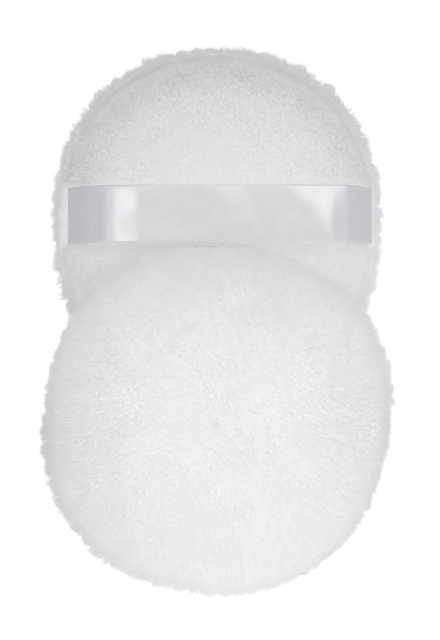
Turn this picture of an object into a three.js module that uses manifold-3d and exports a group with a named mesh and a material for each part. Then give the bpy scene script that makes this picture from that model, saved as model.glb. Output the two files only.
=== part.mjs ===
// Two round powder puffs of white plush, each with a satin finger strap across its back. The lying
// puff rests on the table on its fluffy face, strap up. The leaning puff lies half on it and half on
// the table, fluffy face up, so its own strap is underneath.
//
// Millimetres, +Z up. The origin is on the table, at the middle of the pair's footprint, and the
// puffs lie one behind the other along Y. Each puff is first made about its own axis with its seam
// at height zero and its strap up, then turned over if need be, drawn out to its outline and laid.
import * as THREE from "three";
import { mergeVertices } from "three/addons/utils/BufferGeometryUtils.js";
import Module from "manifold-3d";

const wasm = await Module();
wasm.setup();

// The sewn cover, the same on both puffs
const seamReach = 46.5; // middle of a puff to the seam that joins its two panels
const seamParting = 0.3; // between the two panels along the seam
const clearance = 0.3; // between pieces that touch
const lipTurn = 1.2; // how far outside the seam the pile of the two panels parts

// The seam's thread, a ring in a channel of the face panel
const threadRadius = 0.45;
const threadInset = 1.3; // seam to the middle of the thread

// The wadding pad inside
const padToThread = 1.75; // between the pad's rim and the thread
const padRise = 4; // above the seam, towards the strap
const padDrop = 4.5; // below the seam, towards the face

// The back panel, of short pile
const backPile = 4; // cloth and pile over the pad
const backSpread = 3; // pile standing out past the seam
const backLipRise = 2; // its widest line, above the seam

// The face panel, of long pile. The lying puff's weight presses its pile.
const lyingFacePile = 7.5;
const lyingFaceSpread = 6.1;
const leaningFacePile = 9.5;
const leaningFaceSpread = 8.3;
const faceLipDrop = 3.5; // its widest line, below the seam

// The satin strap
const strapWidth = 18;
const strapThickness = 0.5;
const strapBow = 0.8; // rise of the band's middle above its ends
const lyingFingerRoom = 5.5; // between the back panel and the band
const leaningFingerRoom = 1.2; // less where the puff lies on its strap
const strapPastSeam = 1.6; // past the seam, where the strap turns in under the back panel
const bendInset = 11.3; // from there in to the bend where the level band begins
const tuckToPad = 1.3; // between the strap's hidden end and the pad's rim

// How the puffs lie
const rimToStrap = 1; // between the leaning puff's upper rim and the lying puff's strap
const restCut = 0.5; // how deep the plush is pressed flat where it rests
const nestleShare = 0.75; // how much of the back's pile gives way where the puffs touch
const drapeStart = 48; // the leaning puff starts to rise this far in front of its middle
const drapeEnd = 44; // and lies level again this far behind it

// Outlines, as shares of a puff's reach and of an ellipse's roundness: 1 is an ellipse, and less is
// squarer. The far side of a puff is its +Y side, and the near side faces the other way.
const lyingOutlineShares = {
  widthShare: 1,
  lengthShare: 1.03,
  farRoundShare: 0.93,
  nearRoundShare: 0.77,
};
const leaningOutlineShares = {
  widthShare: 1,
  lengthShare: 1.005,
  farRoundShare: 0.87,
  nearRoundShare: 0.87,
};
const leaningTurnDegrees = -10;

// How round the sections of the domes are, by the same measure: less is flatter on top
const backDomeRoundShare = 0.8;
const faceDomeRoundShare = 0.89;
const padRoundShare = 0.8;

// Places down the strap's hanging end, as shares of its run outwards and of its fall
const strapEndShares = [
  [0, 0],
  [0.2, 0.08],
  [0.62, 0.36],
  [0.9, 0.68],
  [1, 0.88],
];

// Mesh fineness
const roundSteps = 48;
const domeSteps = 9;
const lipSteps = 3;
const padSteps = 4;
const threadSides = 5;
const strapSteps = 4;
const bandSteps = 12;
const settlingPasses = 8;

// Sizes that follow from the ones above
const threadReach = seamReach - threadInset;
const padReach = threadReach - threadRadius - padToThread;
const backReach = seamReach + backSpread;
const backTop = padRise + clearance + backPile;
const lipReach = seamReach + lipTurn;
const partingHalf = seamParting / 2;
const channelReach = threadReach + threadRadius + clearance;
const threadDrop = partingHalf + clearance + threadRadius;
const channelDrop = threadDrop + threadRadius + clearance;
const strapHalfThickness = strapThickness / 2;
const strapTurn = seamReach + strapPastSeam;
const strapBend = strapTurn - bendInset;
const tuckEnd = padReach + tuckToPad;
const tuckHeight = clearance - partingHalf + strapHalfThickness;

// The puff that lies on its face, level on the table
const lying = {
  name: "lying",
  strapUp: true,
  outline: lyingOutlineShares,
  turn: 0,
  reach: seamReach + lyingFaceSpread,
  faceBottom: padDrop + clearance + lyingFacePile,
  bandHeight: backTop + lyingFingerRoom + strapHalfThickness,
};

// The puff that leans on it, face up
const leaning = {
  name: "leaning",
  strapUp: false,
  outline: leaningOutlineShares,
  turn: THREE.MathUtils.degToRad(leaningTurnDegrees),
  reach: seamReach + leaningFaceSpread,
  faceBottom: padDrop + clearance + leaningFacePile,
  bandHeight: backTop + leaningFingerRoom + strapHalfThickness,
};

// The height of a dome with a superellipse for its section, at a distance from its axis.
function domeHeight(reach, rise, roundShare, distance) {
  const power = 2 / roundShare;
  const share = Math.min(Math.abs(distance) / reach, 1);
  return rise * (1 - share ** power) ** (1 / power);
}

// The profile of such a dome, from its rim inwards, ending on the axis.
function dome(reach, rise, roundShare, steps, baseHeight) {
  const points = [];
  for (let i = 0; i < steps; i++) {
    const r = reach * Math.cos((i / steps) * (Math.PI / 2)) ** roundShare;
    points.push([r, baseHeight + domeHeight(reach, rise, roundShare, r)]);
  }
  points.push([0, baseHeight + rise]);
  return points;
}

// A quarter round lip, from beside its widest point back to the parting of the two panels.
function lip(outerReach, widestHeight) {
  const points = [];
  for (let i = 1; i <= lipSteps; i++) {
    const angle = (i / lipSteps) * (Math.PI / 2);
    const r = lipReach + (outerReach - lipReach) * Math.cos(angle);
    points.push([r, widestHeight + (partingHalf - widestHeight) * Math.sin(angle)]);
  }
  return points;
}

const flip = (points) => points.map(([r, z]) => [r, -z]);

const asVectors = (points) => points.map(([x, z]) => new THREE.Vector2(x, z));

// A body turned about Z from a profile that runs from its lower end on the axis to its upper one.
function turned(profile) {
  return new THREE.LatheGeometry(asVectors(profile), roundSteps).rotateX(Math.PI / 2);
}

// The outside of the back panel, from the parting round its lip and over its dome.
function backOutside() {
  const over = dome(backReach, backTop - backLipRise, backDomeRoundShare, domeSteps, backLipRise);
  return [...lip(backReach, backLipRise).reverse(), ...over];
}

function backPanel() {
  const ceiling = dome(padReach + clearance, padRise, padRoundShare, padSteps, clearance);
  return turned([...ceiling.reverse(), [channelReach, partingHalf], ...backOutside()]);
}

// The outside of the face panel, from the middle of its dome, round its lip to the parting. A puff
// that lies on its face has the dome cut flat where it rests.
function faceOutside(puff) {
  const rise = puff.faceBottom - faceLipDrop;
  let over = dome(puff.reach, rise, faceDomeRoundShare, domeSteps, faceLipDrop);
  if (puff.strapUp) {
    const flatDrop = puff.faceBottom - restCut;
    const flatShare = domeHeight(rise, 1, faceDomeRoundShare, flatDrop - faceLipDrop);
    over = over.filter(([, z]) => z < flatDrop);
    over.push([puff.reach * flatShare, flatDrop], [0, flatDrop]);
  }
  return [...flip(over).reverse(), ...flip(lip(puff.reach, faceLipDrop))];
}

function facePanel(puff) {
  const bowl = dome(padReach + clearance, padDrop, padRoundShare, padSteps, clearance);
  const channel = [
    [channelReach, -partingHalf],
    [channelReach, -channelDrop],
  ];
  const bowlBelowChannel = bowl.filter(([, z]) => z > channelDrop);
  return turned([...faceOutside(puff), ...channel, ...flip(bowlBelowChannel)]);
}

function wadding() {
  const over = dome(padReach, padRise, padRoundShare, padSteps, 0);
  const under = flip(dome(padReach, padDrop, padRoundShare, padSteps, 0)).reverse();
  return turned([...under, ...over.slice(1)]);
}

function seamThread() {
  const ring = new THREE.TorusGeometry(threadReach, threadRadius, threadSides, roundSteps);
  return ring.translate(0, 0, -threadDrop);
}

// A line of points moved sideways by a distance, to the left of the way it runs if positive.
function movedAside(line, distance) {
  return line.map((point, i) => {
    const onward = (line[i + 1] ?? point).clone().sub(point).normalize();
    const soFar = point.clone().sub(line[i - 1] ?? point).normalize();
    const along = onward.clone().add(soFar).normalize();
    const reach = distance / along.dot(i > 0 ? soFar : onward);
    return new THREE.Vector2(point.x - along.y * reach, point.y + along.x * reach);
  });
}

// An outline in X and Z, run across the strap along Y.
function acrossStrap(outline, width) {
  const settings = { depth: width, steps: strapSteps, bevelEnabled: false };
  const body = new THREE.ExtrudeGeometry(new THREE.Shape(outline), settings);
  return body.rotateX(Math.PI / 2).translate(0, width / 2, 0);
}

// A flat strip of the strap's width and thickness that follows a path of [x, z] points.
function strip(path) {
  const over = movedAside(asVectors(path), strapHalfThickness);
  const under = movedAside(asVectors(path), -strapHalfThickness);
  return acrossStrap([...over, ...under.reverse()], strapWidth);
}

function strapBand(puff) {
  const path = [];
  for (let i = 0; i <= bandSteps; i++) {
    const share = (2 * i) / bandSteps - 1;
    path.push([(strapBend - clearance / 2) * share, puff.bandHeight + strapBow * (1 - share ** 2)]);
  }
  return strip(path);
}

// The middle line of one end of the strap: down from the bend over the edge of the back panel, round
// under it and in to where the seam holds it.
function strapEndPath(puff) {
  const bend = strapBend + clearance / 2;
  const fall = puff.bandHeight - tuckHeight;
  const hanging = strapEndShares.map(([runShare, fallShare]) => [
    bend + (strapTurn - bend) * runShare,
    puff.bandHeight - fall * fallShare,
  ]);
  return [
    ...hanging,
    [strapTurn - strapThickness, tuckHeight + strapHalfThickness / 2],
    [strapTurn - strapPastSeam, tuckHeight],
    [tuckEnd, tuckHeight],
  ];
}

// The room that the strap's end presses into the back panel: all that lies over and outside it.
function strapNotch(puff) {
  const gap = strapHalfThickness + clearance;
  const inside = movedAside(asVectors(strapEndPath(puff)), -gap).slice(1);
  const inner = tuckEnd - clearance;
  const outer = puff.reach + backSpread;
  const over = puff.bandHeight + gap;
  const outline = [
    new THREE.Vector2(inside[0].x, over),
    ...inside,
    new THREE.Vector2(inner, inside.at(-1).y),
    new THREE.Vector2(inner, -faceLipDrop),
    new THREE.Vector2(outer, -faceLipDrop),
    new THREE.Vector2(outer, over),
  ];
  return acrossStrap(outline, strapWidth + 2 * clearance);
}

// The share by which a puff's outline is drawn out from a circle, at an angle round it.
function outlineShare(puff, angle) {
  const { widthShare, lengthShare, farRoundShare, nearRoundShare } = puff.outline;
  const across = Math.abs(Math.cos(angle - puff.turn) / widthShare);
  const along = Math.sin(angle - puff.turn) / lengthShare;
  const power = 2 / (along > 0 ? farRoundShare : nearRoundShare);
  return (across ** power + Math.abs(along) ** power) ** (-1 / power);
}

// How far a puff reaches from its middle along Y: behind it if the way is 1, in front if it is -1.
function reachAlong(puff, way) {
  let reach = 0;
  for (let i = 0; i < roundSteps; i++) {
    const angle = (i / roundSteps) * (2 * Math.PI);
    reach = Math.max(reach, way * puff.reach * outlineShare(puff, angle) * Math.sin(angle));
  }
  return reach;
}

// The pair's footprint is centred on the origin, and the leaning puff clears the other's strap.
const middleSpacing = reachAlong(leaning, 1) + rimToStrap + strapWidth / 2;
lying.middleY = (middleSpacing + reachAlong(leaning, -1) - reachAlong(lying, 1)) / 2;
leaning.middleY = lying.middleY - middleSpacing;

// The share of its rise that the leaning puff has made, at a distance behind its middle: one smooth S.
function drapeShare(y) {
  const share = THREE.MathUtils.clamp((y + drapeStart) / (drapeStart + drapeEnd), 0, 1);
  return share ** 2 * (3 - 2 * share);
}

// How far the back stands out from the seam on the puff's middle line, at a distance behind its
// middle, or zero past its rim.
function backDepth(puff, y) {
  const reach = backReach * outlineShare(puff, (Math.sign(y) * Math.PI) / 2);
  const over = domeHeight(reach, backTop - backLipRise, backDomeRoundShare, y);
  return over > 0 ? backLipRise + over : 0;
}

// The heights of the leaning puff's seam at its two ends. Each is found in turn, from the other, as
// the least at which no part of its back lies deeper in the table or the other puff than it may.
function settle(lyingSeam) {
  const marks = Array.from({ length: roundSteps }, (_, i) => (backReach * (i + 1)) / roundSteps);
  const otherBack = (y) => backDepth(lying, y - middleSpacing);
  const upMarks = marks.filter((y) => otherBack(y) > 0);
  let lower = 0;
  let upper = 0;
  for (let pass = 0; pass < settlingPasses; pass++) {
    const overTable = marks.map((distance) => {
      const share = drapeShare(-distance);
      return (backDepth(leaning, -distance) - restCut - upper * share) / (1 - share);
    });
    lower = Math.max(...overTable);
    const overOther = upMarks.map((y) => {
      const level = lyingSeam + otherBack(y) + backDepth(leaning, y) - backPile * nestleShare;
      return (level - lower * (1 - drapeShare(y))) / drapeShare(y);
    });
    upper = Math.max(...overOther);
  }
  return [lower, upper];
}

const lyingSeam = lying.faceBottom - restCut;
const [lowerSeam, upperSeam] = settle(lyingSeam);
lying.seamHeight = () => lyingSeam;
leaning.seamHeight = (y) => lowerSeam + (upperSeam - lowerSeam) * drapeShare(y);

// Lays one piece: turned over if the strap is below, drawn out to the puff's outline if it was made
// round, and raised and draped to where the puff lies.
function lay(puff, geometry, isRound) {
  if (!puff.strapUp) geometry.rotateX(Math.PI);
  const at = geometry.getAttribute("position");
  for (let i = 0; i < at.count; i++) {
    const share = outlineShare(puff, isRound ? Math.atan2(at.getY(i), at.getX(i)) : 0);
    const y = isRound ? at.getY(i) * share : at.getY(i);
    at.setXYZ(i, at.getX(i) * share, puff.middleY + y, puff.seamHeight(y) + at.getZ(i));
  }
  return geometry;
}

// A closed geometry as a solid for cutting.
function solidOf(geometry) {
  const bare = geometry.clone();
  bare.deleteAttribute("normal");
  bare.deleteAttribute("uv");
  const merged = mergeVertices(bare);
  const vertProperties = merged.getAttribute("position").array;
  const triVerts = new Uint32Array(merged.index.array);
  return new wasm.Manifold(new wasm.Mesh({ numProp: 3, vertProperties, triVerts }));
}

// A cut solid as a geometry.
function geometryOf(solid) {
  const mesh = solid.getMesh();
  const geometry = new THREE.BufferGeometry();
  geometry.setAttribute("position", new THREE.BufferAttribute(mesh.vertProperties, 3));
  geometry.setIndex(new THREE.BufferAttribute(mesh.triVerts, 1));
  return geometry.toNonIndexed();
}

// The outside of the whole lying puff, grown by the clearance, which the leaning puff is cut by.
function lyingEnvelope() {
  const over = backOutside().map(([r, z]) => [r, z + clearance]);
  const profile = [...faceOutside(lying), ...over];
  const grown = profile.map(([r, z]) => [r > 0 ? r + clearance : 0, z]);
  return solidOf(lay(lying, turned(grown), true));
}

// All that lies below the table.
function belowTable() {
  const side = 2 * (middleSpacing + lying.reach + leaning.reach);
  return solidOf(new THREE.BoxGeometry(side, side, side).translate(0, 0, -side / 2));
}

// The back panel as it lies, with the strap's two ends pressed into it.
function laidBackPanel(puff) {
  let back = solidOf(lay(puff, backPanel(), true));
  for (const side of [0, Math.PI]) {
    back = back.subtract(solidOf(lay(puff, strapNotch(puff).rotateZ(side), false)));
  }
  if (puff === leaning) back = back.subtract(lyingEnvelope()).subtract(belowTable());
  return geometryOf(back);
}

const finishes = {
  longPile: { color: 0xf2f2f5, roughness: 1, metalness: 0 },
  shortPile: { color: 0xebebea, roughness: 1, metalness: 0 },
  wadding: { color: 0xf0eee6, roughness: 1, metalness: 0 },
  thread: { color: 0xeeeeee, roughness: 0.7, metalness: 0 },
  satin: { color: 0xe6e7ee, roughness: 0.35, metalness: 0 },
};

const group = new THREE.Group();

function addPuff(puff) {
  const add = (part, geometry, finish) => {
    const mesh = new THREE.Mesh(geometry, new THREE.MeshStandardMaterial(finish));
    mesh.name = `${puff.name}_${part}`;
    group.add(mesh);
  };
  add("face_plush", lay(puff, facePanel(puff), true), finishes.longPile);
  add("back_plush", laidBackPanel(puff), finishes.shortPile);
  add("wadding_pad", lay(puff, wadding(), true), finishes.wadding);
  add("seam_thread", lay(puff, seamThread(), true), finishes.thread);
  add("strap_band", lay(puff, strapBand(puff), false), finishes.satin);
  const strapEnd = strip(strapEndPath(puff));
  add("strap_end_right", lay(puff, strapEnd.clone(), false), finishes.satin);
  add("strap_end_left", lay(puff, strapEnd.rotateZ(Math.PI), false), finishes.satin);
}

addPuff(lying);
addPuff(leaning);

export default group;
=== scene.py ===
"""Two round plush powder puffs with satin finger straps: one lies strap up, its twin leans on it face up.

Each puff is two rounds of plush sewn edge to edge over a wadding pad, with a satin ribbon caught in the seam at both
ends. Its shape is worked out in millimetres in the puff's own frame, with the strap up, the strap's line along x and
the seam at height 0. Puff.to_world then lays it in the pair, in metres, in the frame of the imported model.
"""

import math
from dataclasses import dataclass
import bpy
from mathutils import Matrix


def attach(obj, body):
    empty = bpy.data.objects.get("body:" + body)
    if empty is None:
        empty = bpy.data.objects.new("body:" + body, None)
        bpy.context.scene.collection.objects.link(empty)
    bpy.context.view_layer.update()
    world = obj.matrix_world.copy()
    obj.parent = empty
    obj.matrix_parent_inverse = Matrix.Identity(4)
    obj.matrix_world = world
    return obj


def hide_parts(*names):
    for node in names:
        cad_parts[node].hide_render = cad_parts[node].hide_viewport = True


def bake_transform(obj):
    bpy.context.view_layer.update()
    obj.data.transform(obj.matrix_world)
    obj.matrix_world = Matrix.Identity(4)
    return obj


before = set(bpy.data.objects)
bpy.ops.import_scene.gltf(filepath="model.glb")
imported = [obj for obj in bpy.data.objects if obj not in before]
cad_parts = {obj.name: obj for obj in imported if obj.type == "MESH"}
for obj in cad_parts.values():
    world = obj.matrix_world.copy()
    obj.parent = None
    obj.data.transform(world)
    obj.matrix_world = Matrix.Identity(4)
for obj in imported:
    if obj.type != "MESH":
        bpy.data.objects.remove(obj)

from types import SimpleNamespace

import bpy
import numpy as np
from bpy.props import FloatProperty, FloatVectorProperty, IntProperty, PointerProperty
from mathutils import Vector

bl_info = {
    "name": "Powder Puff Pair",
    "version": (1, 0, 0),
    "blender": (4, 5, 0),
    "location": "3D View > Sidebar > Powder Puff",
    "description": "Builds two plush powder puffs with satin finger straps on their packed frame",
    "category": "Add Mesh",
}

MM = 0.001

# The camera and the lamps: the photograph's scale, and each lamp's place, size and power setting, in metres.
PHOTO_HEIGHT_PX, PX_PER_MM_ON_TABLE, SENSOR_MM = 640, 3.0677, 36
CAMERA_X, CAMERA_Y, TABLE_HALF = 0.00096, 0.0003, 2.0
LAMP_COLOUR = (1, 0.992, 0.978)
LAMPS = (
    ("key_lamp", (0.1, -0.62, 0.42), 0.5, "key_watts"),
    ("fill_lamp", (0.08, 0.36, 0.7), 0.5, "fill_watts"),
    ("left_glint", (-0.32, 0.04, 0.86), 0.16, "glint_watts"),
    ("right_glint", (0.3, 0.28, 0.82), 0.26, "glint_watts"),
)

# Grids: rings from a panel's middle to its widest line, rings on from there to the seam, and points to a ring.
RINGS, LIP_RINGS, AROUND = 20, 5, 144

# Cloth, padding and seam, in mm. Under the leaning puff the seam's height changes over a slope.
SEAM_PARTING, CLOTH_THICKNESS, SEAM_ALLOWANCE = 0.3, 0.8, 4.0
WADDING_REACH, FLOOR_GAP = 43.0, 0.25
SLOPE_FROM, SLOPE_LENGTH = -48, 92
STITCHES, STITCH_LINE, STITCH_RISE, STITCH_WEAVE = 116, 45.2, 0.45, 0.12
THREAD_RADIUS, PLY_PITCH = 0.24, 0.8

# The outer form of the pile: the powers of its domes, and its lips in mm.
ROUND_SHARE, FACE_ROUND_SHARE = 0.8, 0.89
BACK_LIP_RISE, BACK_LIP_SPREAD = 2.0, 3.0
FACE_LIP_DROP, FACE_LIP_INSET, LIP_TURN = 3.5, 1.3, 1.2

# The pile: how much of its height is dense, how much light passes there, and its roots' depth in mm. PLAN_REACH is a
# panel's radius in mm along its cloth. The shares below it lean the normals as light spreads in the pile: see lifted.
BACK_UNDERPILE, FACE_UNDERPILE, LIGHT_THROUGH_PILE = 0.75, 0.76, 0.93
TUFT_SPACING, ROOT_DEPTH = 0.0015, 0.3
PLAN_REACH, GOLDEN_ANGLE = 52, 2.399963
OWN_SIDE_SHARE = (0.25, 0.5)
BACK_SPLAY, BACK_LIP_SCATTER = 0.17, 0.95
FACE_SCATTER, FAR_SCATTER, RIM_SCATTER = 0.55, 1.6, 1.6

# The leaning puff's fluff: (degrees, mm) of its further reach round the rim, and how it folds short of the ribbon.
LEANING_RIM_REACH = (
    (0, -0.8), (30, -0.5), (60, 0), (120, 0), (150, -1.2), (180, -0.6), (210, 0.2), (240, 1.2), (268, 0.6),
    (295, -1.3), (330, -0.8),
)  # fmt: skip
FLUFF_TO_STRAP, FOLD_SHARE = 1.2, 1.35

# How each pile grows: grow says what the names mean.
BACK_LOOK = SimpleNamespace(
    clump=2.4, pull=0.05, lean=0.2, lock_lean=0.1, stray=0.42, strays=0.04, longer=1.5, droop=0.0, width=0.7,
    sheen=0.25, bent=False, rim_share=2.6, rim_extra=1.3, rim_pull=0.35, rim_splay=0.45, rim_upright=0.8,
)  # fmt: skip
FACE_LOOK = SimpleNamespace(
    clump=2.3, pull=0.15, lean=0.35, lock_lean=0.15, stray=0.4, strays=0.02, longer=1.7, droop=0.05, width=0.9,
    sheen=0.35, bent=True, rim_share=2.0, rim_extra=1.0, rim_pull=0.8, rim_splay=0.38, rim_upright=0.75,
)  # fmt: skip

# The ribbon in mm, in pairs for the left and the right half: see strap_path. The tint below warms its level part only,
# so that its steep ends stay bluer: painted cool shade and reflection.
STRAP_ROWS, STRAP_FOOT, STRAP_TUCK = 150, 1.2, 44.3
STRAP_TURNS, STRAP_CREASES = (47.1, 48.9), (34.2, 40.1)
STRAP_BEND = ((-0.5, 0.35), (0.3, 0.75), (0.1, 1.5))
STRAP_ARCHES = (
    ((0.07, 0.11), (0.3, 0.4), (0.52, 0.62), (0.72, 0.75)),
    ((0.07, 0.11), (0.3, 0.4), (0.52, 0.645), (0.72, 0.79)),
)
STRAP_SHOULDERS = (
    ((-1.4, -1.48), (0.8, -0.92), (2.6, -0.55), (5.6, -0.17), (8.4, 0.18), (10.2, 0.3)),
    ((-0.9, -1.0), (0.6, -0.55), (3.2, -0.15), (6.0, 0.1), (9.0, 0.15), (11.2, 0.1)),
)
STRAP_LEVEL = ((0.45, 0.75), (0.2, 1), (0, 1))
# painted light: warms the ribbon's level part, so that its steep ends stay bluer as painted shade and reflection
LEVEL_WARMTH_PAINTED_LIGHT = (1.027, 1.012, 0.968, 1)

# The cover in its cloth simulation: 3% larger than its form, so that it puckers beside the seam.
COVER_FRAMES = 20
COVER_CLOTH = dict(
    quality=6, mass=0.05, tension_stiffness=8, compression_stiffness=8, bending_stiffness=0.05, shrink_min=-0.03,
    use_pressure=True, uniform_pressure_force=4, vertex_group_mass="seam",
)  # fmt: skip


def linear(code):
    """The linear colour of an sRGB hex code such as "F4F4F6", with alpha 1."""
    parts = [int(code[i : i + 2], 16) / 255 for i in (0, 2, 4)]
    return tuple(c / 12.92 if c <= 0.04045 else ((c + 0.055) / 1.055) ** 2.4 for c in parts) + (1.0,)


def smoothstep(x):
    """3x^2 - 2x^3 of x held between 0 and 1."""
    x = np.clip(x, 0, 1)
    return x * x * (3 - 2 * x)


def unit(v):
    """The vectors of an array, each divided by its length."""
    return v / np.maximum(np.linalg.norm(v, axis=-1, keepdims=True), 1e-9)


@dataclass(frozen=True)
class Puff:
    """One puff's own sizes in mm, and how it lies in the pair. strap_height, strap_bow and strap_wave are of the level
    part of its ribbon: its height over the seam, how far it rises to the middle, and the share of its wave."""

    name: str
    middle_y: float
    face_up: bool
    length_share: float
    far_round: float
    near_round: float
    turn: float
    seam_low: float
    seam_high: float
    strap_height: float
    strap_bow: float
    strap_wave: float

    def outline_share(self, angle):
        """How far the outline reaches at an angle: a superellipse, rounder or squarer on its far and near halves."""
        c, s = np.cos(angle - self.turn), np.sin(angle - self.turn)
        p = 2 / np.where(s >= 0, self.far_round, self.near_round)
        return (np.abs(c) ** p + np.abs(s / self.length_share) ** p) ** (-1 / p)

    def seam_height(self, y):
        """The seam's height over the table at y from the puff's middle: a smooth step from low to high."""
        return self.seam_low + (self.seam_high - self.seam_low) * smoothstep((y - SLOPE_FROM) / SLOPE_LENGTH)

    def to_world(self, points, on_strap=False):
        """Points of the puff's own frame in mm, turned over where the face is up, spread to the outline, set on the
        seam's height and turned to metres. The strap's points keep their y, so that the ribbon keeps its width."""
        x, y, z = (np.asarray(points, float)[..., i] for i in range(3))
        if self.face_up:
            y, z = -y, -z
        share = self.outline_share(np.zeros_like(x) if on_strap else np.arctan2(y, x))
        x, y = x * share, y if on_strap else y * share
        z = z + self.seam_height(y)
        return np.stack([x, y + self.middle_y, z], -1) * MM

    def side_up(self, side):
        """+1 where the back (side 1) or the face (side -1) looks up in the pair, else -1."""
        return -side if self.face_up else side


LYING = Puff("lying", 33.48, False, 1.03, 0.93, 0.77, 0.0, 11.8, 11.8, 14.05, 0.3, 1.0)
LEANING = Puff("leaning", -32.09, True, 1.005, 0.87, 0.87, math.radians(-10), 5.67, 25.88, 9.75, 0.1, 0.3)
PUFFS = (LYING, LEANING)


def side_word(side):
    """The name of a puff's side: back is 1 and face is -1."""
    return "back" if side > 0 else "face"


def size_setting(name, description, metres, precision=2):
    """A size setting, in metres."""
    return FloatProperty(name=name, description=description, default=metres, precision=precision, unit="LENGTH")


def colour_setting(name, description, code):
    """A colour setting, with an sRGB hex code as its default."""
    return FloatVectorProperty(name=name, description=description, default=linear(code), subtype="COLOR", size=4)


class PuffSizes(bpy.types.PropertyGroup):
    """Sizes that a maker would change."""

    seam_reach: size_setting("Seam Radius", "From a puff's middle to its seam", 0.0465)
    wadding_rise: size_setting("Padding Rise", "Height of the wadding over the seam", 0.0034)
    wadding_drop: size_setting("Padding Drop", "Depth of the wadding under the seam", 0.0039)
    swell: size_setting("Swell", "Most that the cloth is let swell over its wadding", 0.0009)
    back_pile: size_setting("Back Pile", "Length of the short pile on the back", 0.004)
    lying_face_pile: size_setting("Lying Face Pile", "Length of the face pile of the lying puff", 0.0075)
    leaning_face_pile: size_setting("Leaning Face Pile", "Length of the face pile of the leaning puff", 0.0095)
    strand_width: size_setting("Strand Width", "Width of a strand, a lock of several fibres, at its root", 0.00016, 5)
    strap_width: size_setting("Ribbon Width", "Width of the ribbon", 0.018)
    strap_thickness: size_setting("Ribbon Thickness", "Thickness of the ribbon", 0.0004, 5)
    short_strands: IntProperty(
        name="Short Strands", description="Strands in each piece of short pile", default=48000, min=100, max=49000
    )
    long_strands: IntProperty(
        name="Long Strands", description="Strands in each piece of long pile", default=19000, min=100, max=19900
    )
    seed: IntProperty(name="Seed", description="Seed of all random draws", default=7)


class PuffColours(bpy.types.PropertyGroup):
    """Colours of the cloths, fibres and thread."""

    long_tip: colour_setting("Long Pile Tip", "Tip of the long pile", "F3F3F5")
    # painted shade: the long pile's root colour is greyer than its tip, for the shade deep in the pile
    long_root: colour_setting("Long Pile Root", "Root of the long pile", "F0F1F4")
    short_tip: colour_setting("Short Pile Tip", "Tip of the short pile", "F8F8F6")
    # painted shade: the short pile's root colour is greyer than its tip, for the shade deep in the pile
    short_root: colour_setting("Short Pile Root", "Root of the short pile", "ECECEB")
    underpile: colour_setting("Underpile", "Dense lower part of the plush", "FAFAFB")
    # painted shade: the satin's cool tint stays only on the ribbon's steep ends, as painted shade and reflection; its
    # level part is warmed
    satin: colour_setting("Satin", "Face of the satin ribbon", "DDDEE1")
    selvedge: colour_setting("Selvedge", "Woven edges of the ribbon", "DADADB")
    wadding: colour_setting("Wadding", "Polyester wadding", "EFEDE6")
    thread: colour_setting("Thread", "Spun polyester thread", "EDEDED")


class StageSettings(bpy.types.PropertyGroup):
    """Camera, lamps and table."""

    camera_height: size_setting("Camera Height", "Camera over the table", 0.6)
    key_watts: FloatProperty(name="Key Lamp", description="Power of the large soft key lamp", default=2.6)
    fill_watts: FloatProperty(name="Fill Lamp", description="Power of the soft lamp behind the pair", default=0.95)
    glint_watts: FloatProperty(
        name="Glints", description="Power of the two small lamps that the ribbon's gloss shows", default=0.8
    )
    sky: colour_setting("Sky", "Colour of the room's light", "EBECEF")
    sky_strength: FloatProperty(name="Sky Strength", description="Strength of the room's light", default=0.46)
    table: colour_setting("Table", "Colour of the table", "E4E4E4")


def settings(context):
    """The three property groups of the scene."""
    return context.scene.puff_sizes, context.scene.puff_colours, context.scene.puff_stage


def put(tree, kind, inputs=None, **own):
    """Adds one shader node. own holds its properties, and inputs what its sockets are given: a value, the socket that
    feeds it, or the node whose first output feeds it."""
    node = tree.nodes.new(f"ShaderNode{kind}")
    for key, value in own.items():
        setattr(node, key, value)
    for socket, value in (inputs or {}).items():
        if isinstance(value, bpy.types.Node):
            value = value.outputs[0]
        if isinstance(value, bpy.types.NodeSocket):
            tree.links.new(value, node.inputs[socket])
        else:
            node.inputs[socket].default_value = value
    return node


def mixed(tree, share, first, second, blend="MIX"):
    """The socket of a mix of two colours."""
    return put(tree, "Mix", {0: share, 6: first, 7: second}, data_type="RGBA", blend_type=blend).outputs[2]


def material_of(surface, *looks, name=None):
    """The material of a name, or else of the surface's. The first call makes it, as surface(tree, *looks) says."""
    name = name or surface.__name__
    material = bpy.data.materials.get(name)
    if not material:
        material = bpy.data.materials.new(name)
        material.use_nodes = True
        material.node_tree.nodes.clear()
        put(material.node_tree, "OutputMaterial", {"Surface": surface(material.node_tree, *looks)})
    return material


def plush_fibre(tree, root, tip, sheen):
    """Polyester plush pile: matt fibres, each lock its own slight tint, and greyer towards the root as painted shade
    deep in the pile. The strand's own map says where: v runs from root to tip and u picks the tint."""
    split = put(tree, "SeparateXYZ", {0: put(tree, "UVMap", uv_map="OFBake")}).outputs
    # painted shade deep in the pile: the colour turns from the greyer root to the tip along v
    rise = put(tree, "Math", {0: split["Y"], 1: 0.6}, operation="POWER")
    tint = put(tree, "MapRange", {"Value": split["X"], "To Min": 0.93, "To Max": 1.0})
    hue = put(tree, "HueSaturation", {"Value": tint, "Color": mixed(tree, rise, tuple(root), tuple(tip))})
    gloss = {"Roughness": 0.8, "Specular IOR Level": 0.25, "Sheen Weight": sheen, "Sheen Roughness": 0.45}
    return put(tree, "BsdfPrincipled", {"Base Color": hue, **gloss})


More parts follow.
